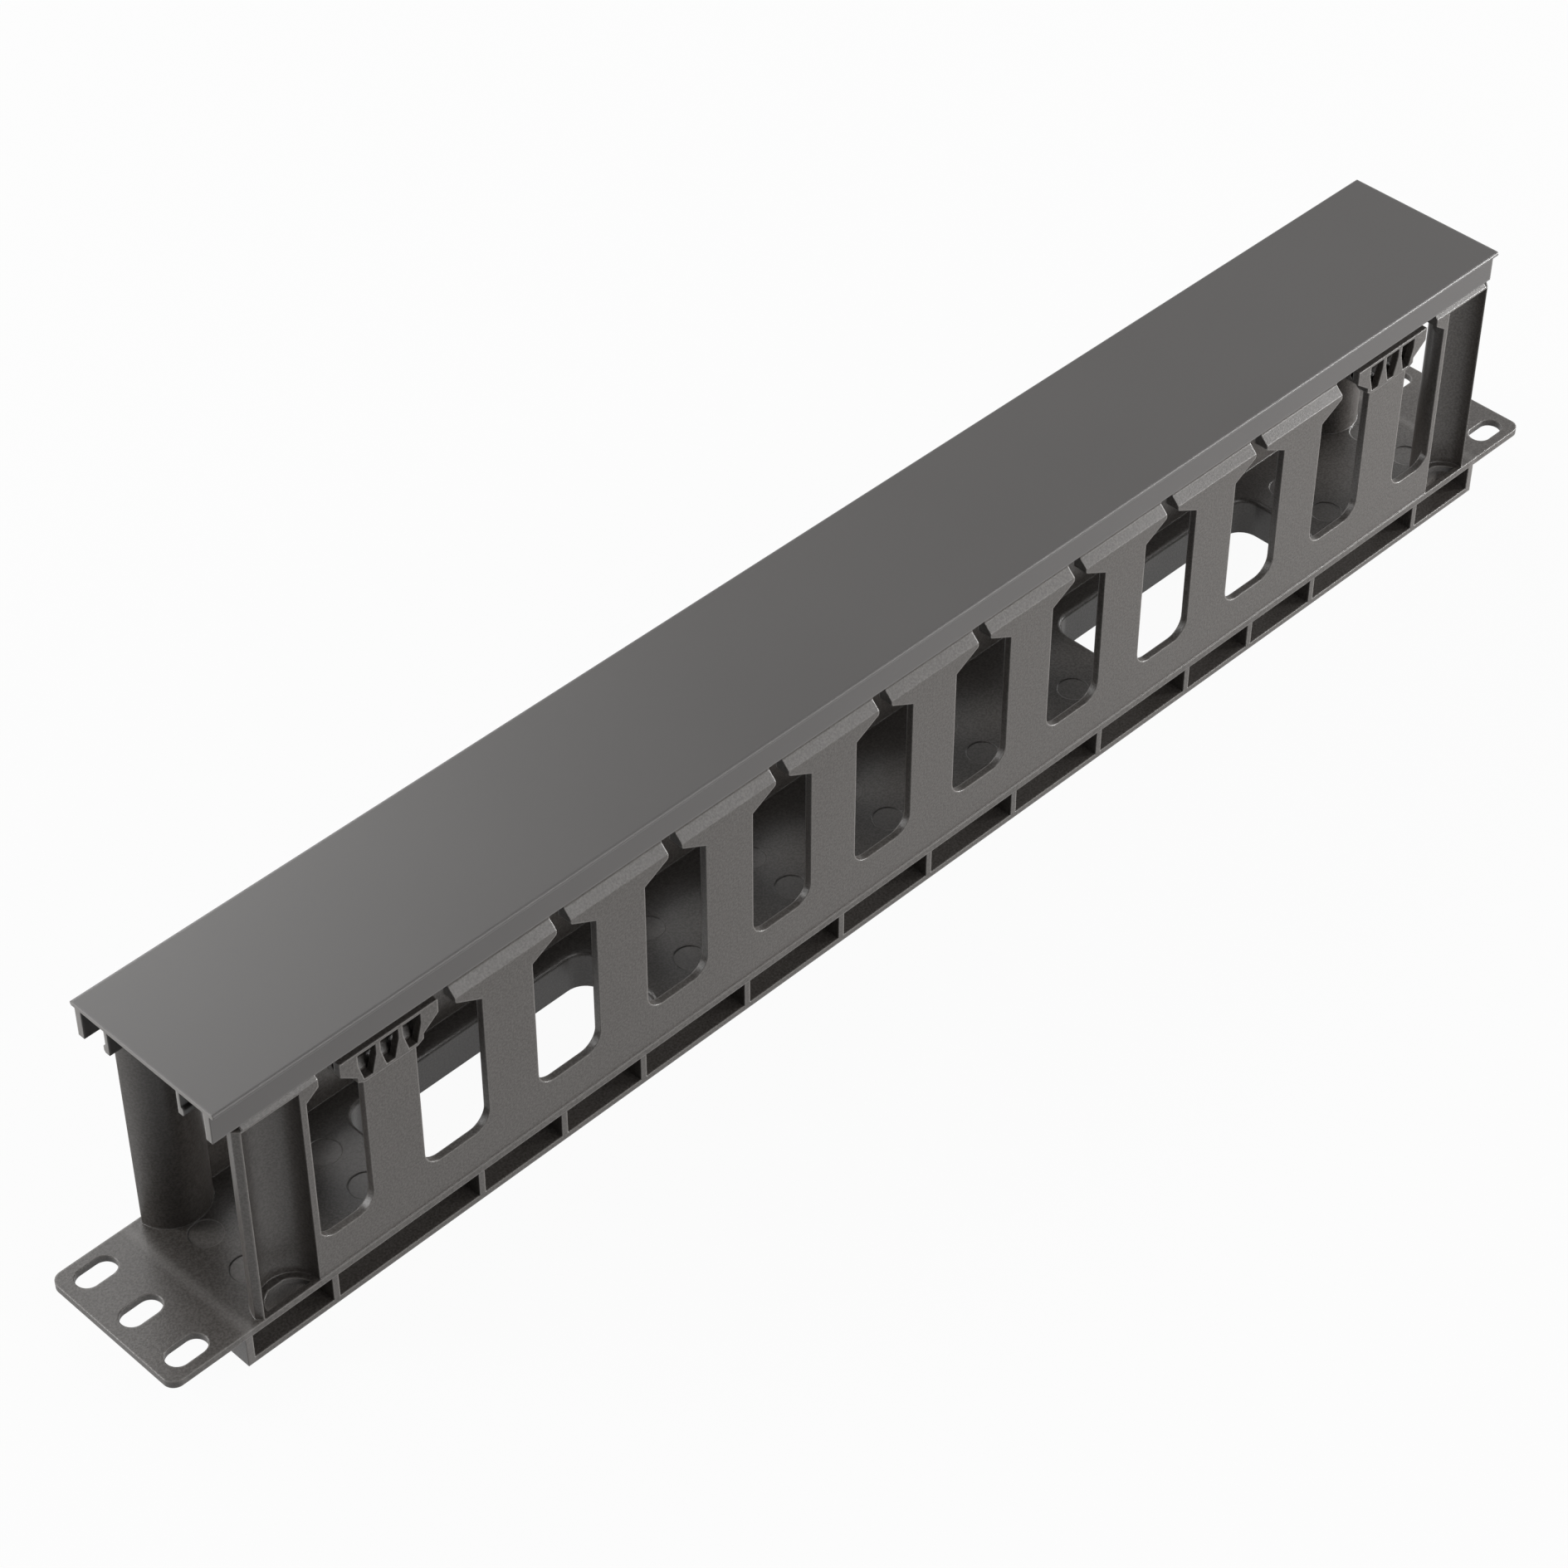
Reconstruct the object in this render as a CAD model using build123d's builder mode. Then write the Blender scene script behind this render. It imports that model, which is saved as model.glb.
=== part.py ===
"""Horizontal cable manager for a 19-inch rack, lying on its back.

A moulded base carries two rows of fingers, a half-round post at each end of each row, and a
mounting ear at each end. An extruded cover closes the duct and clips over the finger heads.
X runs along the rack width, Y across the duct and Z out of the rack. The origin lies on the
underside, in the middle of the base.
"""

from build123d import *
import os

# Rack panel and ears
PANEL_LENGTH = 482.6
PANEL_WIDTH = 43.4
PLATE_THICKNESS = 2.0
EAR_CORNER_RADIUS = 3.0
EAR_SLOT_INSET = 8.75
RACK_HOLE_PITCH = 15.875
EAR_SLOT_LENGTH = 10.9
EAR_SLOT_WIDTH = 6.3

# Ribbed box behind the panel
PLATE_TOP = 11.4
SIDE_SETBACK = 0.3
BOX_END_MARGIN = 4.15
BOX_END_THICKNESS = 2.0
RAIL_THICKNESS = 1.6
WEB_THICKNESS = 1.8
RIB_THICKNESS = 1.8
CROSS_RIB_PLACES = (0.0, 31.4, 64.0, 194.5)
SIDE_RIB_PLACES = (98.7, 124.3, 150.3)

# Windows through the floor of the duct
WINDOW_LENGTH = 77.8
WINDOW_WIDTH = 27.6
WINDOW_PLACE = 123.6
WINDOW_CORNER_RADIUS = 6.0
WINDOW_RIM_RADIUS = 1.2

# Fingers
FINGER_COUNT = 11
FINGER_PITCH = 34.75
FINGER_WIDTH = 15.2
WALL_THICKNESS = 2.0
SLOT_FLOOR = 22.5
SLOT_CORNER_RADIUS = 5.0
HEAD_WIDTH = 30.4
HEAD_SIDE_HEIGHT = 16.5
HEAD_CORNER_RADIUS = 0.8
FLARE_HEIGHT = 4.1
NECK_HEIGHT = 15.2
SHOULDER_DEPTH = 2.2
NECK_OVERLAP = 2.7

# Hook inside each head
HOOK_REACH = 6.2
HOOK_THICKNESS = 2.0
HOOK_DROP = 1.9
HOOK_LEAD = 0.6

# Slotted comb heads on the first and last finger of each row
COMB_PROUD = 0.7
COMB_LIP_THICKNESS = 2.0
COMB_NECK_HEIGHT = 10.7
COMB_HEIGHT = 9.9
COMB_WIDTH = 28.2
COMB_FOOT_WIDTH = 19.0
COMB_FOOT_RISE = 1.0
COMB_FOOT_HEIGHT = 2.5
COMB_SIDE_HEIGHT = 3.9
COMB_SLOT_PITCH = 6.45
COMB_SLOT_WIDTH = 5.2
COMB_SLOT_FOOT_WIDTH = 2.4
COMB_SLOT_TOP_DROP = 0.8
COMB_SLOT_SIDE_HEIGHT = 3.0
COMB_SLOT_FOOT_HEIGHT = 5.2

# Half-round end posts
END_SLOT_WIDTH = 15.6
POST_RADIUS = 9.7
POST_THICKNESS = 1.7
POST_RIM_CHAMFER = 1.5
POST_SLOT_OVERLAP = 0.4
POST_NECK_HEIGHT = 11.5
POST_HEAD_SETBACK = 2.2
POST_LINTEL_HEIGHT = 0.5
POST_CAP_THICKNESS = 2.0
POST_FLARE_SIDE_HEIGHT = 13.7
POST_FLARE_HEIGHT = 2.9
FOOT_HOLE_RADIUS = 6.2
FOOT_HOLE_RIM = 1.2

# Round marks that the ejector pins leave in the floor
PIN_MARK_RADIUS = 4.2
PIN_MARK_DEPTH = 0.2
PIN_MARK_OFFSET = 7.3
PIN_MARK_PLACES = (0.0, 34.75, 69.5, 173.0, 208.0)

# Cover
OVERALL_HEIGHT = 85.4
COVER_THICKNESS = 1.3
COVER_END_OVERHANG = 1.85
COVER_SLIDE = -4.6
COVER_LIP = 1.47
COVER_EDGE_RADIUS = 0.55
FLANGE_STEP = 1.2
FLANGE_THICKNESS = 2.0
FLANGE_DEPTH = 8.2
SNAP_RIB_THICKNESS = 1.1
BEAD_REACH = 0.8
BEAD_HEIGHT = 2.4
BEAD_LEAD = 0.5
TOP_GAP = 0.2
HOOK_GAP = 0.3

# Levels and places that follow from the sizes above
rack_hole_centres = PANEL_LENGTH - 2 * EAR_SLOT_INSET
plate_bottom = PLATE_TOP - PLATE_THICKNESS
wall_outer = PANEL_WIDTH / 2 - SIDE_SETBACK
wall_inner = wall_outer - WALL_THICKNESS
web_inner = WINDOW_WIDTH / 2
web_outer = web_inner + WEB_THICKNESS
last_finger = (FINGER_COUNT - 1) / 2 * FINGER_PITCH
slot_width = FINGER_PITCH - FINGER_WIDTH
head_gap = FINGER_PITCH - HEAD_WIDTH
post_slot_start = last_finger + FINGER_WIDTH / 2
post_place = post_slot_start + END_SLOT_WIDTH + POST_RADIUS
post_edge = post_place - POST_RADIUS + POST_SLOT_OVERLAP
post_end = post_place + POST_RADIUS
post_head_start = last_finger + HEAD_WIDTH / 2 + head_gap
post_head_end = post_end - POST_HEAD_SETBACK
box_length = 2 * (post_end + BOX_END_MARGIN)
cover_length = 2 * (post_end + COVER_END_OVERHANG)
cover_bottom = OVERALL_HEIGHT - COVER_THICKNESS
head_top = cover_bottom - TOP_GAP
neck_outer = wall_outer - SHOULDER_DEPTH
neck_inner = neck_outer - WALL_THICKNESS
hook_edge = neck_outer - HOOK_REACH
shelf_bottom = head_top - WALL_THICKNESS
hook_bottom = shelf_bottom - HOOK_DROP
flare_end = head_top - HEAD_SIDE_HEIGHT
flare_start = flare_end - FLARE_HEIGHT
shoulder = head_top - NECK_HEIGHT
post_shoulder = head_top - POST_NECK_HEIGHT
trough_top = post_shoulder - POST_LINTEL_HEIGHT
post_flare_end = head_top - POST_FLARE_SIDE_HEIGHT
post_flare_start = post_flare_end - POST_FLARE_HEIGHT
comb_top = head_top - COMB_NECK_HEIGHT
comb_bottom = comb_top - COMB_HEIGHT
comb_side = comb_top - COMB_SIDE_HEIGHT
comb_outer = wall_outer + COMB_PROUD
comb_inner = comb_outer - COMB_LIP_THICKNESS
comb_slot_top = comb_top - COMB_SLOT_TOP_DROP
comb_slot_side = comb_slot_top - COMB_SLOT_SIDE_HEIGHT
comb_slot_foot = comb_slot_side - COMB_SLOT_FOOT_HEIGHT
flange_outer = wall_outer + FLANGE_STEP
rib_outer = hook_edge - HOOK_GAP
rib_inner = rib_outer - SNAP_RIB_THICKNESS
bead_top = hook_bottom - HOOK_GAP
bead_bottom = bead_top - BEAD_HEIGHT
bead_outer = rib_outer + BEAD_REACH
inner_slots = [(i - FINGER_COUNT / 2 + 1) * FINGER_PITCH for i in range(FINGER_COUNT - 1)]
post_centres = [(sx * post_place, sy * wall_outer) for sx in (-1, 1) for sy in (-1, 1)]
window_centres = [(-WINDOW_PLACE, 0), (WINDOW_PLACE, 0)]
comb_slots = [s * last_finger + i * COMB_SLOT_PITCH for s in (-1, 1) for i in (-1, 0, 1)]


def both_ways(places):
    """Places along X on both sides of the middle, with a place at zero taken once."""
    return sorted({side * x for x in places for side in (-1, 1)})


def head_section(foot, shoulder_start):
    """Section of one wall across the duct, from its foot to the hook, on both sides."""
    neck_foot = shoulder_start - NECK_OVERLAP
    Polygon(
        (wall_outer, foot),
        (wall_outer, shoulder_start),
        (neck_outer, shoulder_start + SHOULDER_DEPTH),
        (neck_outer, head_top),
        (hook_edge + HOOK_LEAD, head_top),
        (hook_edge, head_top - HOOK_LEAD),
        (hook_edge, hook_bottom),
        (hook_edge + HOOK_THICKNESS, hook_bottom),
        (hook_edge + HOOK_THICKNESS, shelf_bottom),
        (neck_inner, shelf_bottom),
        (neck_inner, neck_foot),
        (wall_inner, neck_foot - SHOULDER_DEPTH),
        (wall_inner, foot),
        align=None,
    )
    mirror(about=Plane.YZ)


def comb_outline(top, mode):
    """Outline of both comb heads, from the top of their fingers up to the given level."""
    with Locations((-last_finger, 0), (last_finger, 0)):
        Polygon(
            (-FINGER_WIDTH / 2, comb_bottom),
            (FINGER_WIDTH / 2, comb_bottom),
            (COMB_FOOT_WIDTH / 2, comb_bottom + COMB_FOOT_RISE),
            (COMB_FOOT_WIDTH / 2, comb_bottom + COMB_FOOT_HEIGHT),
            (COMB_WIDTH / 2, comb_side),
            (COMB_WIDTH / 2, top),
            (-COMB_WIDTH / 2, top),
            (-COMB_WIDTH / 2, comb_side),
            (-COMB_FOOT_WIDTH / 2, comb_bottom + COMB_FOOT_HEIGHT),
            (-COMB_FOOT_WIDTH / 2, comb_bottom + COMB_FOOT_RISE),
            align=None,
            mode=mode,
        )


with BuildPart() as duct_base:
    # Webs, cross ribs, side ribs and end walls behind the panel
    with BuildSketch(Plane.XY):
        Rectangle(box_length, 2 * web_outer)
        Rectangle(box_length, 2 * web_inner, mode=Mode.SUBTRACT)
        with Locations(*[(x, 0) for x in both_ways(CROSS_RIB_PLACES)]):
            Rectangle(RIB_THICKNESS, 2 * wall_outer)
        with Locations(*[(x, 0) for x in both_ways(SIDE_RIB_PLACES)]):
            Rectangle(RIB_THICKNESS, 2 * wall_outer)
        with Locations(*window_centres):
            Rectangle(WINDOW_LENGTH + 2 * WEB_THICKNESS, 2 * web_outer)
        with Locations((-box_length / 2, 0)):
            Rectangle(BOX_END_THICKNESS, 2 * wall_outer, align=(Align.MIN, Align.CENTER))
        with Locations((box_length / 2, 0)):
            Rectangle(BOX_END_THICKNESS, 2 * wall_outer, align=(Align.MAX, Align.CENTER))
    extrude(amount=plate_bottom)

    # Rails along both long edges of the box
    with BuildSketch(Plane.XY):
        Rectangle(box_length, 2 * wall_outer)
        Rectangle(box_length, 2 * web_inner, mode=Mode.SUBTRACT)
    extrude(amount=RAIL_THICKNESS)

    # Panel plate with the two ears
    with BuildSketch(Plane.XY.offset(plate_bottom)):
        RectangleRounded(PANEL_LENGTH, PANEL_WIDTH, EAR_CORNER_RADIUS)
        with GridLocations(rack_hole_centres, RACK_HOLE_PITCH, 2, 3):
            SlotOverall(EAR_SLOT_LENGTH, EAR_SLOT_WIDTH, mode=Mode.SUBTRACT)
    extrude(amount=PLATE_THICKNESS)

    # Windows with a rounded rim
    with BuildSketch(Plane.XY):
        with Locations(*window_centres):
            RectangleRounded(WINDOW_LENGTH, WINDOW_WIDTH, WINDOW_CORNER_RADIUS)
    extrude(amount=PLATE_TOP, mode=Mode.SUBTRACT)
    fillet(duct_base.edges(Select.LAST).group_by(Axis.Z)[-1], WINDOW_RIM_RADIUS)

    # Pin marks in the floor
    with BuildSketch(Plane.XY.offset(PLATE_TOP - PIN_MARK_DEPTH)):
        for offset in (-PIN_MARK_OFFSET, PIN_MARK_OFFSET):
            with Locations(*[(x, offset) for x in both_ways(PIN_MARK_PLACES)]):
                Circle(PIN_MARK_RADIUS)
    extrude(amount=PIN_MARK_DEPTH, mode=Mode.SUBTRACT)

    # Both walls in one piece, up to the end posts
    with BuildSketch(Plane.YZ):
        head_section(PLATE_TOP, shoulder)
    extrude(amount=post_edge + POST_SLOT_OVERLAP, both=True)

    # Heads of the end posts
    for start in (-post_head_end, post_head_start):
        with BuildSketch(Plane.YZ.offset(start)):
            head_section(post_flare_start, post_shoulder)
        extrude(amount=post_head_end - post_head_start)

    # Slots between the fingers, through both walls
    with BuildSketch(Plane.XZ) as slot_sketch:
        with Locations(*[(x, 0) for x in inner_slots]):
            Polygon(
                (-slot_width / 2, SLOT_FLOOR),
                (slot_width / 2, SLOT_FLOOR),
                (slot_width / 2, flare_start),
                (head_gap / 2, flare_end),
                (head_gap / 2, OVERALL_HEIGHT),
                (-head_gap / 2, OVERALL_HEIGHT),
                (-head_gap / 2, flare_end),
                (-slot_width / 2, flare_start),
                align=None,
            )
        Polygon(
            (post_slot_start, SLOT_FLOOR),
            (post_edge, SLOT_FLOOR),
            (post_edge, post_flare_start),
            (post_head_start, post_flare_end),
            (post_head_start, OVERALL_HEIGHT),
            (post_head_start - head_gap, OVERALL_HEIGHT),
            (post_head_start - head_gap, flare_end),
            (post_slot_start, flare_start),
            align=None,
        )
        Polygon(
            (-post_slot_start, SLOT_FLOOR),
            (-post_slot_start, flare_start),
            (head_gap - post_head_start, flare_end),
            (head_gap - post_head_start, OVERALL_HEIGHT),
            (-post_head_start, OVERALL_HEIGHT),
            (-post_head_start, post_flare_end),
            (-post_edge, post_flare_start),
            (-post_edge, SLOT_FLOOR),
            align=None,
        )
        fillet(slot_sketch.vertices().group_by(Axis.Y)[0], SLOT_CORNER_RADIUS)
        head_corners = slot_sketch.vertices().filter_by_position(
            Axis.Y, flare_end - HEAD_CORNER_RADIUS, flare_end + HEAD_CORNER_RADIUS
        )
        fillet(head_corners, HEAD_CORNER_RADIUS)
    extrude(amount=PANEL_WIDTH / 2, both=True, mode=Mode.SUBTRACT)

    # End posts, solid up to their shoulder and the cap behind it, then hollowed from outside
    with BuildSketch(Plane.XY.offset(PLATE_TOP)):
        with Locations(*post_centres):
            Circle(POST_RADIUS)
        Rectangle(PANEL_LENGTH, 2 * wall_outer, mode=Mode.INTERSECT)
    extrude(amount=post_shoulder - PLATE_TOP)
    with BuildSketch(Plane.XY.offset(trough_top)):
        with Locations(*post_centres):
            Circle(POST_RADIUS)
        Rectangle(PANEL_LENGTH, 2 * neck_outer, mode=Mode.INTERSECT)
    extrude(amount=POST_CAP_THICKNESS)
    with BuildSketch(Plane.XY.offset(PLATE_TOP)):
        with Locations(*post_centres):
            Circle(POST_RADIUS - POST_THICKNESS)
    extrude(amount=trough_top - PLATE_TOP, mode=Mode.SUBTRACT)

    # Outer rim of each post, cut back at an angle
    with BuildSketch(Plane.XY.offset(PLATE_TOP)):
        Polygon(
            (post_end, wall_outer),
            (post_end - POST_RIM_CHAMFER, wall_outer),
            (post_end, wall_outer - POST_RIM_CHAMFER),
            align=None,
        )
        mirror(about=Plane.XZ)
        mirror(about=Plane.YZ)
    extrude(amount=post_shoulder - PLATE_TOP, mode=Mode.SUBTRACT)

    # Holes in the foot of the posts, down into the side cells
    with BuildSketch(Plane.XY.offset(plate_bottom)):
        with Locations(*post_centres):
            Circle(FOOT_HOLE_RADIUS)
        Rectangle(PANEL_LENGTH, 2 * (wall_outer - FOOT_HOLE_RIM), mode=Mode.INTERSECT)
        Rectangle(PANEL_LENGTH, 2 * web_outer, mode=Mode.SUBTRACT)
    extrude(amount=PLATE_THICKNESS, mode=Mode.SUBTRACT)

    # Comb heads, trimmed to their outline, with a proud lip in front of an open groove
    with BuildSketch(Plane.XZ):
        with Locations((-last_finger, comb_bottom), (last_finger, comb_bottom)):
            Rectangle(
                HEAD_WIDTH + head_gap,
                OVERALL_HEIGHT - comb_bottom,
                align=(Align.CENTER, Align.MIN),
            )
        comb_outline(OVERALL_HEIGHT, Mode.SUBTRACT)
    extrude(amount=PANEL_WIDTH / 2, both=True, mode=Mode.SUBTRACT)
    with BuildSketch(Plane.XZ.offset(comb_inner), Plane.XZ.offset(-comb_outer)):
        comb_outline(comb_top, Mode.ADD)
    extrude(amount=COMB_LIP_THICKNESS)

    # Three tapered slots through the lip of each comb head, and one pocket behind them
    with BuildSketch(Plane.XZ.offset(comb_inner), Plane.XZ.offset(-comb_outer)):
        with Locations(*[(x, 0) for x in comb_slots]):
            Polygon(
                (-COMB_SLOT_FOOT_WIDTH / 2, comb_slot_foot),
                (COMB_SLOT_FOOT_WIDTH / 2, comb_slot_foot),
                (COMB_SLOT_WIDTH / 2, comb_slot_side),
                (COMB_SLOT_WIDTH / 2, comb_slot_top),
                (-COMB_SLOT_WIDTH / 2, comb_slot_top),
                (-COMB_SLOT_WIDTH / 2, comb_slot_side),
                align=None,
            )
    extrude(amount=COMB_LIP_THICKNESS, mode=Mode.SUBTRACT)
    with BuildSketch(Plane.XZ.offset(neck_inner), Plane.XZ.offset(-comb_inner)):
        with Locations((-last_finger, comb_slot_foot), (last_finger, comb_slot_foot)):
            Rectangle(
                2 * COMB_SLOT_PITCH + COMB_SLOT_WIDTH,
                comb_slot_top - comb_slot_foot,
                align=(Align.CENTER, Align.MIN),
            )
    extrude(amount=comb_inner - neck_inner, mode=Mode.SUBTRACT)

with BuildPart() as cover:
    # Section of the profile, drawn for one side and mirrored
    with BuildSketch(Plane.YZ.offset(COVER_SLIDE)):
        with Locations((flange_outer, cover_bottom - FLANGE_DEPTH)):
            Rectangle(
                FLANGE_THICKNESS,
                FLANGE_DEPTH + COVER_THICKNESS / 2,
                align=(Align.MAX, Align.MIN),
            )
        Polygon(
            (rib_inner, OVERALL_HEIGHT - COVER_THICKNESS / 2),
            (rib_inner, bead_bottom),
            (bead_outer - BEAD_LEAD, bead_bottom),
            (bead_outer, bead_bottom + BEAD_LEAD),
            (bead_outer, bead_top - BEAD_LEAD),
            (bead_outer - BEAD_LEAD, bead_top),
            (rib_outer, bead_top),
            (rib_outer, OVERALL_HEIGHT - COVER_THICKNESS / 2),
            align=None,
        )
        mirror(about=Plane.YZ)
        with Locations((0, OVERALL_HEIGHT)):
            RectangleRounded(
                2 * (flange_outer + COVER_LIP),
                COVER_THICKNESS,
                COVER_EDGE_RADIUS,
                align=(Align.CENTER, Align.MAX),
            )
    extrude(amount=cover_length / 2, both=True)

duct_base.part.label = "duct_base"
cover.part.label = "cover"

os.makedirs("parts", exist_ok=True)
export_step(duct_base.part, "parts/duct_base.step")
export_step(cover.part, "parts/cover.step")
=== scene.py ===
"""Black plastic rack cable manager, lying on its back on a plain white floor.

The moulded base and the extruded cover are smooth-shaded copies of the solids. Their looks are
procedural materials in the object's own coordinates, with every scale worked out from millimetres.
"""

import math

import bmesh
import bpy
import numpy as np
from mathutils import Matrix, Vector


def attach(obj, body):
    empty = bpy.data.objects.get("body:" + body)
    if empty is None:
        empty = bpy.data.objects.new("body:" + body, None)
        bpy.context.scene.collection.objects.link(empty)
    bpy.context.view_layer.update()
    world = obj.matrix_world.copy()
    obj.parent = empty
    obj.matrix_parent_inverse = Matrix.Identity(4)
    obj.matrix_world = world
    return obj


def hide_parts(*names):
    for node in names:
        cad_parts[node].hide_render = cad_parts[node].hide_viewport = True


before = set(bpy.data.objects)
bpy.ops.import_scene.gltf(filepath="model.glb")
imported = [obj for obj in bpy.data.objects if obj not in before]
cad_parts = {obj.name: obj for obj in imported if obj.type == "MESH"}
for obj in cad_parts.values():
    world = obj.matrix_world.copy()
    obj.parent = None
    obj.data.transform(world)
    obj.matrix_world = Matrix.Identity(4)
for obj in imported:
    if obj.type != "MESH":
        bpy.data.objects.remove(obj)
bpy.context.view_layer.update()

MM = 0.001

# Camera at the photograph's place and angle, found from the standard spacing of the ears' slots:
# lengths in millimetres and angles in degrees
CAMERA_PLACE = (-546.34, -510.44, 707.13)
CAMERA_AZIMUTH = -45.331
CAMERA_ELEVATION = 42.665
CAMERA_ROLL = 0.138
CAMERA_LENS = 93.09
CAMERA_SENSOR = 36.0
CAMERA_NEAR = 50.0

# Soft square lamps: name, place and side in metres, and power in watts. They all point at LAMP_AIM,
# the middle of the object.
LAMPS = (
    ("far_left", (-0.95, 0.8, 0.8), 0.45, 11.0),
    ("low_left", (-1.0, 0.7, 0.35), 0.6, 9.5),
    ("far", (0.15, 1.3, 0.8), 1.0, 16.5),
    ("front", (0.0, -1.5, 0.6), 0.8, 13.5),
    ("right_end", (1.5, -0.1, 0.4), 0.7, 14.0),
    ("near_right", (0.98, -0.55, 0.12), 0.25, 21.0),
    ("high_front", (0.45, -1.1, 0.85), 0.3, 3.0),
)
LAMP_AIM = (0.0, 0.0, 0.05)
WORLD_STRENGTH = 0.08

# Floor in metres: its side, and the distances between which its share of shadow fades out
FLOOR_SIZE = 8.0
FLOOR_SHADOW_SHARE = 0.045
FLOOR_SHADOW_REACH = (0.3, 1.5)

# Edges: the light that short rays into the solid leave where the paler edge colour starts and where
# it is full, and the samples for the rounding and for that colour. The paler edge colour is partly
# wear and partly a painted highlight.
EDGE_WEAR_AND_HIGHLIGHT_RANGE = (0.95, 0.6)
EDGE_NORMAL_SAMPLES = 6
EDGE_WEAR_AND_HIGHLIGHT_SAMPLES = 8

# Moulded base: lengths in millimetres. A share is how much of a paler colour is laid over the
# plastic, and a range is the part of a noise that is spread over it. The real grain is about 0.1
# to 0.2 mm wide, too fine to show in the render, so it is drawn as coarse as it needs to show.
MOULD_EDGE_RADIUS = 0.5
# Share of paler colour on the base's edges: partly wear, partly a painted highlight
MOULD_EDGE_WEAR_AND_HIGHLIGHT = 0.15
MOULD_GRAIN_SIZE = 0.55
MOULD_GRAIN_DEPTH = 0.05
MOULD_CLOUD_SIZE = 45.0
MOULD_SPECKLE_RANGE = (0.35, 0.65)
MOULD_SPECKLE_SHARE = 0.1
MOULD_ROUGHNESS = (0.35, 0.45)
MOULD_ROUGHNESS_RANGE = (0.3, 0.7)
PIN_MARK_LEVEL = 11.2
PIN_MARK_TOLERANCE = 0.05
PIN_MARK_SHARE = 0.1
SINK_PLACE = 219.6
SINK_HALF_WIDTH = 2.4
SINK_DEPTH = 0.4
SINK_SHARE = 0.14

# Extruded cover: lengths in millimetres, and shares as for the base. Its die lines and grain are
# drawn coarser than real ones too. Dust fades from the first to the second of its two radii, which
# are shares of the spacing.
COVER_EDGE_RADIUS = 0.7
# Share of paler colour on the cover's edges: partly wear, partly a painted highlight
COVER_EDGE_WEAR_AND_HIGHLIGHT = 0.12
COVER_EDGE_DULLNESS = 6.0
COVER_LINE_SIZE = 1.5
COVER_LINE_DEPTH = 0.02
COVER_LINE_SHORTENING = 0.01
COVER_CLOUD_SIZE = 60.0
COVER_GRAIN_SIZE = 0.6
COVER_GRAIN_DEPTH = 0.03
COVER_ROUGHNESS = 0.36
SAWN_ROUGHNESS = 0.6
SAWN_FACING = 0.9
DUST_SPACING = 24.0
DUST_RADII = (0.008, 0.014)
DUST_SHARE = 0.5

PLASTIC_IOR = 1.5

# Wall that closes the pocket behind the slots of a comb head, in millimetres: its middle and half
# its length along X, and its section in Y and Z
COMB_PLACE = 173.75
BACKING_HALF_LENGTH = 9.3
BACKING_SECTION = (
    (19.4, 63.8),
    (17.25, 65.95),
    (17.25, 72.7),
    (17.85, 72.7),
    (17.85, 66.2),
    (19.4, 64.65),
)

SMOOTH_ANGLE = math.radians(32)
MERGE_DISTANCE = 0.002 * MM


def linear(hex_colour):
    """Linear RGBA of an sRGB hex colour such as "3a3836"."""
    channels = [int(hex_colour[i : i + 2], 16) / 255 for i in (0, 2, 4)]
    return [c / 12.92 if c <= 0.04045 else ((c + 0.055) / 1.055) ** 2.4 for c in channels] + [1.0]


def add(tree, kind, inputs=None, **settings):
    """Adds a shader node: settings are its own fields, and inputs are numbers or other sockets."""
    made = tree.nodes.new("ShaderNode" + kind)
    for name, value in settings.items():
        setattr(made, name, value)
    for name, value in (inputs or {}).items():
        if isinstance(value, bpy.types.NodeSocket):
            tree.links.new(value, made.inputs[name])
        else:
            made.inputs[name].default_value = value
    return made


def new_material(name):
    """Empty node material, with its tree."""
    made = bpy.data.materials.new(name)
    made.use_nodes = True
    made.node_tree.nodes.clear()
    return made, made.node_tree


def rounded_edge(tree, radius, wear_and_highlight):
    """Normal that rounds the edges, and 0 on flats rising to the given share on outer edges, where
    short rays into the solid soon leave it again. That share paints the outer edges paler, partly
    as wear and partly as a painted highlight.
    """
    rounded = add(tree, "Bevel", {"Radius": radius * MM}, samples=EDGE_NORMAL_SAMPLES)
    inward = add(
        tree,
        "AmbientOcclusion",
        {"Distance": radius * MM},
        inside=True,
        only_local=True,
        samples=EDGE_WEAR_AND_HIGHLIGHT_SAMPLES,
    )
    edge_wear_and_highlight = add(
        tree,
        "MapRange",
        {
            "Value": inward.outputs["AO"],
            "From Min": EDGE_WEAR_AND_HIGHLIGHT_RANGE[0],
            "From Max": EDGE_WEAR_AND_HIGHLIGHT_RANGE[1],
            "To Max": wear_and_highlight,
        },
    )
    return rounded.outputs["Normal"], edge_wear_and_highlight.outputs["Result"]


def layered(tree, colour, layers):
    """Colour with others laid over it in turn, each by its own share from 0 to 1."""
    for share, over in layers:
        colour = add(
            tree, "Mix", {0: share, 6: colour, 7: linear(over)}, data_type="RGBA"
        ).outputs[2]
    return colour


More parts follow.
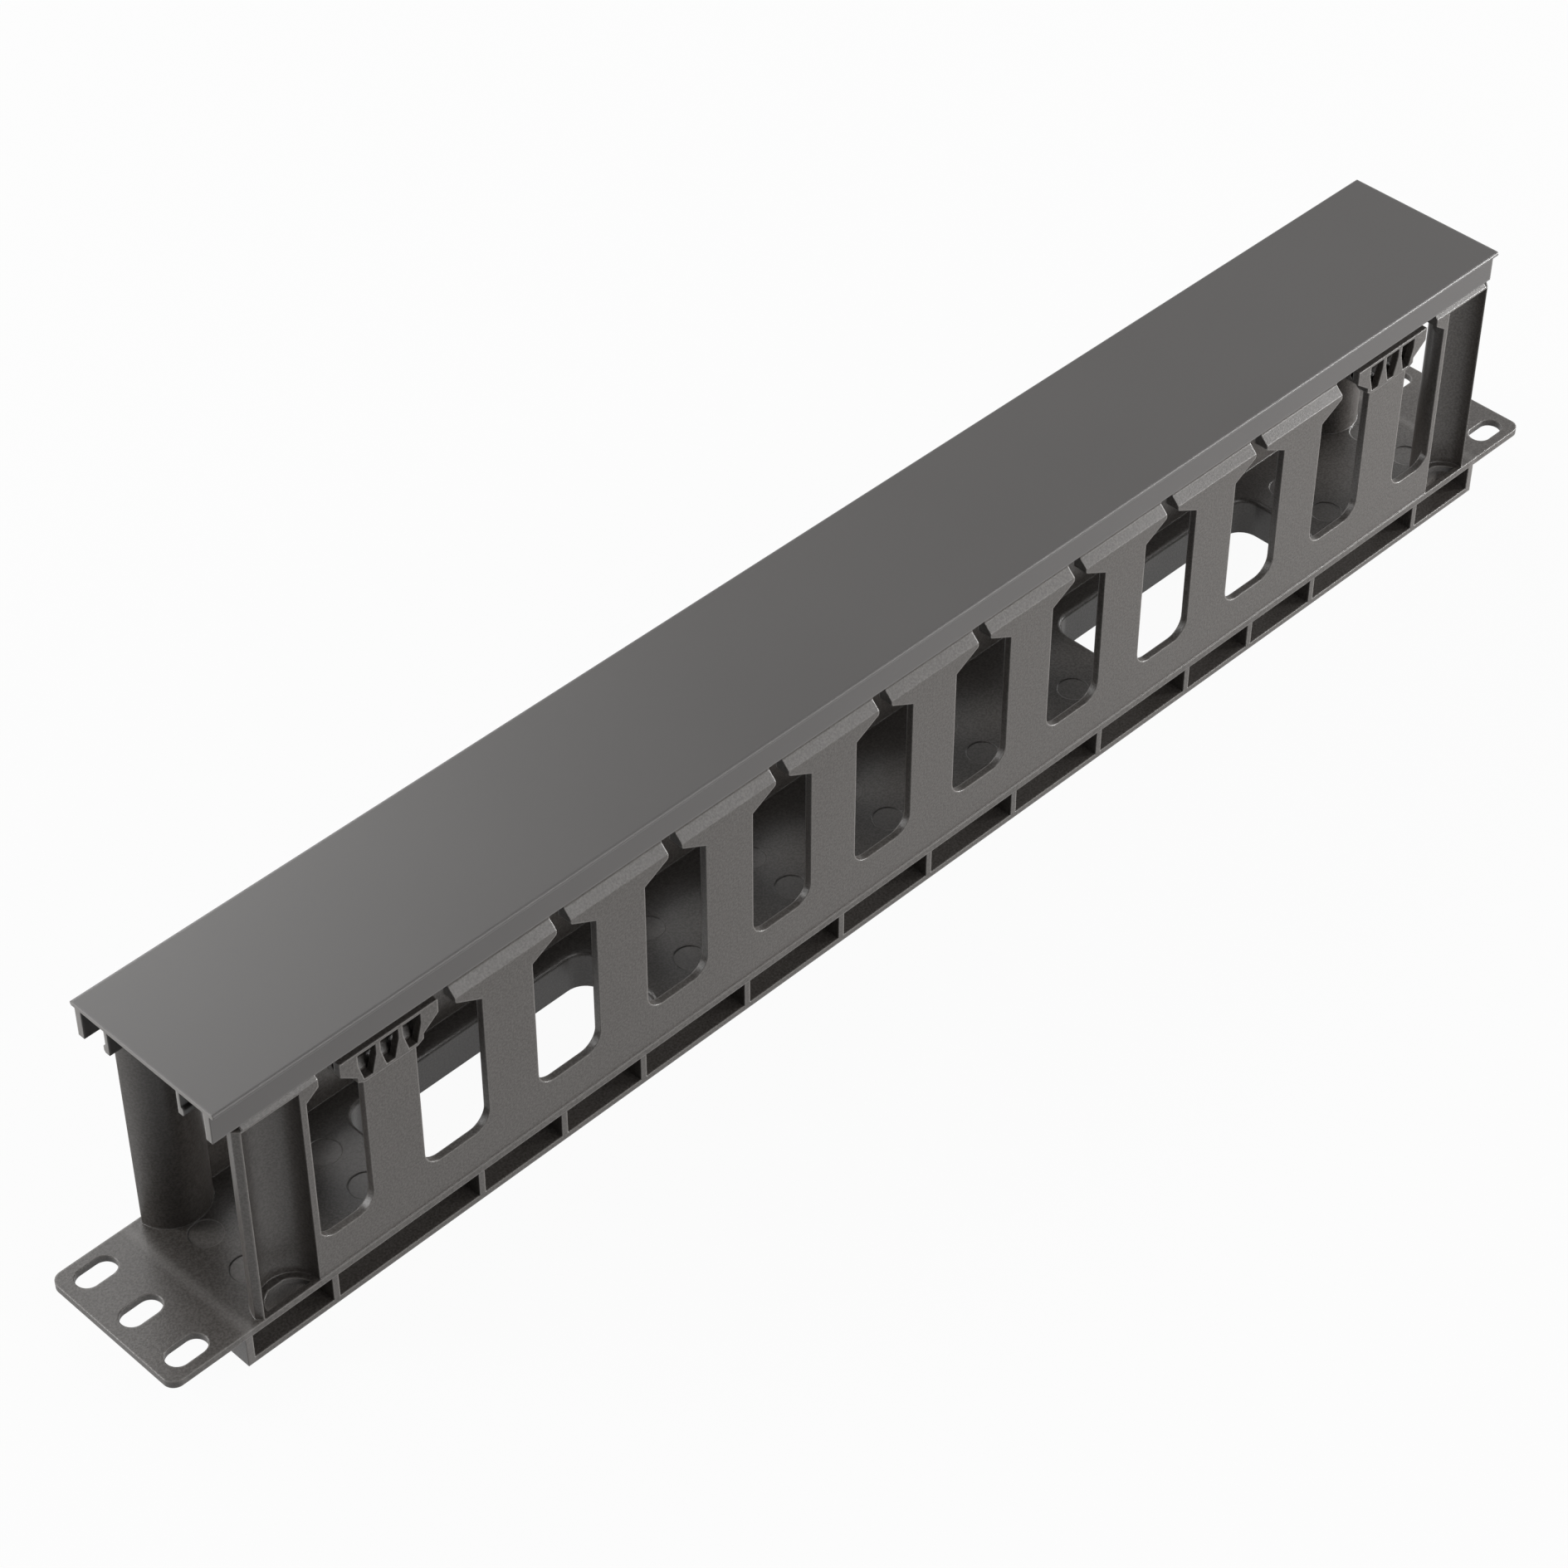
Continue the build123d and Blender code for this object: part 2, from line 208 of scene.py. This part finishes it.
def moulded_abs():
    """Injection-moulded ABS from a spark-eroded tool: even fine grain, edges painted paler, partly
    as rubbing and partly as a painted highlight, discs left paler by the ejector pins, and a faint
    sink line over the end walls of the box.
    """
    material, tree = new_material("moulded_abs")
    place = add(tree, "TexCoord").outputs["Object"]
    axes = add(tree, "SeparateXYZ", {"Vector": place})
    grain = add(
        tree, "TexNoise", {"Vector": place, "Scale": 1 / (MOULD_GRAIN_SIZE * MM), "Detail": 2.0}
    )
    cloud = add(
        tree, "TexNoise", {"Vector": place, "Scale": 1 / (MOULD_CLOUD_SIZE * MM), "Detail": 3.0}
    )
    speckle = add(
        tree,
        "MapRange",
        {
            "Value": grain.outputs["Fac"],
            "From Min": MOULD_SPECKLE_RANGE[0],
            "From Max": MOULD_SPECKLE_RANGE[1],
            "To Max": MOULD_SPECKLE_SHARE,
        },
    )
    rounded, edge_wear_and_highlight = rounded_edge(tree, MOULD_EDGE_RADIUS, MOULD_EDGE_WEAR_AND_HIGHLIGHT)
    disc = add(
        tree,
        "Math",
        {0: axes.outputs["Z"], 1: PIN_MARK_LEVEL * MM, 2: PIN_MARK_TOLERANCE * MM},
        operation="COMPARE",
    )
    disc_share = add(
        tree, "Math", {0: disc.outputs["Value"], 1: PIN_MARK_SHARE}, operation="MULTIPLY"
    )
    across = add(tree, "Math", {0: axes.outputs["X"]}, operation="ABSOLUTE")
    off = add(tree, "Math", {0: across.outputs["Value"], 1: SINK_PLACE * MM}, operation="SUBTRACT")
    away = add(tree, "Math", {0: off.outputs["Value"]}, operation="ABSOLUTE")
    sink = add(
        tree,
        "MapRange",
        {
            "Value": away.outputs["Value"],
            "From Min": SINK_HALF_WIDTH * MM,
            "From Max": 0.0,
            "To Max": SINK_SHARE,
        },
        interpolation_type="SMOOTHSTEP",
    )
    skin = layered(
        tree,
        linear("2f2b28"),
        (
            (cloud.outputs["Fac"], "272421"),
            (speckle.outputs["Result"], "9b9794"),
            (disc_share.outputs["Value"], "8a8785"),
            (sink.outputs["Result"], "8a8785"),
            # Outer edges painted paler: partly wear, partly a painted highlight
            (edge_wear_and_highlight, "a09c98"),
        ),
    )
    gloss = add(
        tree,
        "MapRange",
        {
            "Value": cloud.outputs["Fac"],
            "From Min": MOULD_ROUGHNESS_RANGE[0],
            "From Max": MOULD_ROUGHNESS_RANGE[1],
            "To Min": MOULD_ROUGHNESS[0],
            "To Max": MOULD_ROUGHNESS[1],
        },
    )
    dip = add(
        tree,
        "Bump",
        {
            "Height": sink.outputs["Result"],
            "Strength": 1.0,
            "Distance": SINK_DEPTH * MM,
            "Normal": rounded,
        },
    )
    bump = add(
        tree,
        "Bump",
        {
            "Height": grain.outputs["Fac"],
            "Strength": 0.5,
            "Distance": MOULD_GRAIN_DEPTH * MM,
            "Normal": dip.outputs["Normal"],
        },
    )
    surface = add(
        tree,
        "BsdfPrincipled",
        {
            "Base Color": skin,
            "Roughness": gloss.outputs["Result"],
            "IOR": PLASTIC_IOR,
            "Normal": bump.outputs["Normal"],
        },
    )
    add(tree, "OutputMaterial", {"Surface": surface.outputs["BSDF"]})
    return material


def extruded_abs():
    """Extruded ABS profile: smooth satin skin with faint die lines, a few specks of dust, and
    rougher edges and sawn ends that are painted paler, partly as wear and the look of the cut and
    partly as a painted highlight.
    """
    material, tree = new_material("extruded_abs")
    coordinates = add(tree, "TexCoord")
    place = coordinates.outputs["Object"]
    along = add(tree, "Mapping", {"Vector": place, "Scale": (COVER_LINE_SHORTENING, 1.0, 1.0)})
    lines, cloud, grain = (
        add(tree, "TexNoise", {"Vector": vector, "Scale": 1 / (size * MM), "Detail": 2.0})
        for vector, size in (
            (along.outputs["Vector"], COVER_LINE_SIZE),
            (place, COVER_CLOUD_SIZE),
            (place, COVER_GRAIN_SIZE),
        )
    )
    specks = add(tree, "TexVoronoi", {"Vector": place, "Scale": 1 / (DUST_SPACING * MM)})
    dust = add(
        tree,
        "MapRange",
        {
            "Value": specks.outputs["Distance"],
            "From Min": DUST_RADII[0],
            "From Max": DUST_RADII[1],
            "To Min": DUST_SHARE,
            "To Max": 0.0,
        },
    )
    facing = add(tree, "SeparateXYZ", {"Vector": coordinates.outputs["Normal"]})
    endwise = add(tree, "Math", {0: facing.outputs["X"]}, operation="ABSOLUTE")
    sawn = add(
        tree, "Math", {0: endwise.outputs["Value"], 1: SAWN_FACING}, operation="GREATER_THAN"
    )
    rounded, edge_wear_and_highlight = rounded_edge(tree, COVER_EDGE_RADIUS, COVER_EDGE_WEAR_AND_HIGHLIGHT)
    skin = layered(
        tree,
        linear("3f3d3c"),
        (
            (cloud.outputs["Fac"], "393736"),
            (dust.outputs["Result"], "c9c6c2"),
            # Sawn ends painted paler: partly the look of the cut, partly a painted highlight
            (sawn.outputs["Value"], "6d6b69"),
            # Outer edges painted paler: partly wear, partly a painted highlight
            (edge_wear_and_highlight, "8f8d8b"),
        ),
    )
    dull = add(
        tree,
        "Math",
        {0: edge_wear_and_highlight, 1: COVER_EDGE_DULLNESS, 2: sawn.outputs["Value"]},
        operation="MULTIPLY_ADD",
    )
    rough = add(
        tree,
        "MapRange",
        {"Value": dull.outputs["Value"], "To Min": COVER_ROUGHNESS, "To Max": SAWN_ROUGHNESS},
    )
    streaks = add(
        tree,
        "Bump",
        {
            "Height": lines.outputs["Fac"],
            "Strength": 0.1,
            "Distance": COVER_LINE_DEPTH * MM,
            "Normal": rounded,
        },
    )
    bump = add(
        tree,
        "Bump",
        {
            "Height": grain.outputs["Fac"],
            "Strength": 0.25,
            "Distance": COVER_GRAIN_DEPTH * MM,
            "Normal": streaks.outputs["Normal"],
        },
    )
    surface = add(
        tree,
        "BsdfPrincipled",
        {
            "Base Color": skin,
            "Roughness": rough.outputs["Result"],
            "IOR": PLASTIC_IOR,
            "Normal": bump.outputs["Normal"],
        },
    )
    add(tree, "OutputMaterial", {"Surface": surface.outputs["BSDF"]})
    return material


def camera_or_gloss(tree):
    """One for rays from the camera, from gloss or through glass, and nothing for soft light."""
    path = add(tree, "LightPath")
    seen = add(
        tree,
        "Math",
        {0: path.outputs["Is Camera Ray"], 1: path.outputs["Is Glossy Ray"]},
        operation="MAXIMUM",
    )
    through = add(
        tree,
        "Math",
        {0: seen.outputs["Value"], 1: path.outputs["Is Transmission Ray"]},
        operation="MAXIMUM",
    )
    return through.outputs["Value"]


def white_floor():
    """Matt pale board that shows white to the camera. Near the object it keeps part of the shadow,
    and far from it none, so that its edge isn't seen against the white behind.
    """
    material, tree = new_material("white_floor")
    away = add(
        tree, "VectorMath", {0: add(tree, "TexCoord").outputs["Object"]}, operation="LENGTH"
    )
    plain = add(
        tree,
        "MapRange",
        {
            "Value": away.outputs["Value"],
            "From Min": FLOOR_SHADOW_REACH[0],
            "From Max": FLOOR_SHADOW_REACH[1],
            "To Min": 1 - FLOOR_SHADOW_SHARE,
            "To Max": 1.0,
        },
        interpolation_type="SMOOTHSTEP",
    )
    board = add(tree, "BsdfDiffuse", {"Color": linear("a0a0a0")})
    glow = add(tree, "Emission", {"Color": linear("ffffff"), "Strength": 1.0})
    share = add(
        tree,
        "Math",
        {0: camera_or_gloss(tree), 1: plain.outputs["Result"]},
        operation="MULTIPLY",
    )
    mixed = add(
        tree,
        "MixShader",
        {0: share.outputs["Value"], 1: board.outputs["BSDF"], 2: glow.outputs["Emission"]},
    )
    add(tree, "OutputMaterial", {"Surface": mixed.outputs["Shader"]})
    return material


def smooth_copy(node, body, material):
    """Stands in for a solid. Triangles are merged where they share corners, curves are shaded
    smooth, and each corner's normal leans on its largest faces, so flats stay flat.
    """
    shape = bmesh.new()
    shape.from_mesh(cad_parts[node].data)
    bmesh.ops.remove_doubles(shape, verts=shape.verts, dist=MERGE_DISTANCE)
    corners = [v.co.copy() for v in shape.verts]
    faces = [[v.index for v in f.verts] for f in shape.faces]
    shape.free()
    mesh = bpy.data.meshes.new(node + "_surface")
    mesh.from_pydata(corners, [], faces)
    mesh.shade_smooth()
    mesh.set_sharp_from_angle(angle=SMOOTH_ANGLE)
    mesh.materials.append(material)
    made = bpy.data.objects.new(node + "_surface", mesh)
    bpy.context.scene.collection.objects.link(made)
    weighted = made.modifiers.new("flat_faces", "WEIGHTED_NORMAL")
    weighted.mode = "FACE_AREA"
    weighted.weight = 100
    weighted.keep_sharp = True
    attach(made, body)
    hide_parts(node)


def comb_backing(material):
    """Thin folded walls that close the pockets behind the comb slots. Each is the section's points
    (y, z) carried straight along X: (sx * COMB_PLACE + end * BACKING_HALF_LENGTH, sy * y, z), with
    sx, sy and end = -1 or 1. A mirrored section runs the other way round, so the faces of one row
    are turned to look outward like those of the other.
    """
    section = np.array(BACKING_SECTION)
    count = len(section)
    sx, sy, end, point = np.meshgrid((-1, 1), (-1, 1), (-1, 1), np.arange(count), indexing="ij")
    along = sx * COMB_PLACE + end * BACKING_HALF_LENGTH
    corners = np.stack((along, sy * section[point, 0], section[point, 1]), axis=-1) * MM
    here = np.arange(count)
    ahead = np.roll(here, -1)
    ring = np.stack((here, ahead, count + ahead, count + here), axis=-1)
    ends = np.stack((here[::-1], count + here))
    faces = []
    for wall, row in enumerate((-1, 1, -1, 1)):
        for sides in (ring, ends):
            faces += (2 * count * wall + sides[:, ::-row]).tolist()
    mesh = bpy.data.meshes.new("comb_backing")
    mesh.from_pydata(corners.reshape(-1, 3).tolist(), [], faces)
    mesh.materials.append(material)
    made = bpy.data.objects.new("comb_backing", mesh)
    bpy.context.scene.collection.objects.link(made)
    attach(made, "duct")


base_material = moulded_abs()
smooth_copy("duct_base", "duct", base_material)
comb_backing(base_material)
smooth_copy("cover", "cover", extruded_abs())

# Floor
bpy.ops.mesh.primitive_plane_add(size=FLOOR_SIZE, location=(0, 0, 0))
floor = bpy.context.object
floor.name = "floor"
floor.data.materials.append(white_floor())

# World, white to the camera and in reflections
world = bpy.data.worlds.new("studio")
bpy.context.scene.world = world
world.use_nodes = True
world.node_tree.nodes.clear()
seen = add(
    world.node_tree,
    "MapRange",
    {"Value": camera_or_gloss(world.node_tree), "To Min": WORLD_STRENGTH, "To Max": 1.0},
)
sky = add(
    world.node_tree,
    "Background",
    {"Color": linear("ffffff"), "Strength": seen.outputs["Result"]},
)
add(world.node_tree, "OutputWorld", {"Surface": sky.outputs["Background"]})

# Lamps
for lamp_name, lamp_place, lamp_side, lamp_power in LAMPS:
    lamp_data = bpy.data.lights.new(lamp_name, "AREA")
    lamp_data.size = lamp_side
    lamp_data.energy = lamp_power
    lamp = bpy.data.objects.new(lamp_name, lamp_data)
    lamp.location = lamp_place
    lamp.rotation_mode = "QUATERNION"
    lamp.rotation_quaternion = (Vector(LAMP_AIM) - Vector(lamp_place)).to_track_quat("-Z", "Y")
    bpy.context.scene.collection.objects.link(lamp)

# Camera
azimuth = math.radians(CAMERA_AZIMUTH)
elevation = math.radians(CAMERA_ELEVATION)
back = Vector(
    (
        math.sin(azimuth) * math.cos(elevation),
        -math.cos(azimuth) * math.cos(elevation),
        math.sin(elevation),
    )
)
right = Vector((math.cos(azimuth), math.sin(azimuth), 0))
turn = Matrix((right, back.cross(right), back)).transposed()
roll = Matrix.Rotation(math.radians(CAMERA_ROLL), 3, "Z")
camera_data = bpy.data.cameras.new("camera")
camera_data.lens = CAMERA_LENS
camera_data.sensor_width = CAMERA_SENSOR
camera_data.clip_start = CAMERA_NEAR * MM
camera = bpy.data.objects.new("camera", camera_data)
camera.rotation_mode = "QUATERNION"
camera.rotation_quaternion = (turn @ roll).to_quaternion()
camera.location = Vector(CAMERA_PLACE) * MM
bpy.context.scene.collection.objects.link(camera)
bpy.context.scene.camera = camera

bpy.context.scene.view_settings.view_transform = "Standard"
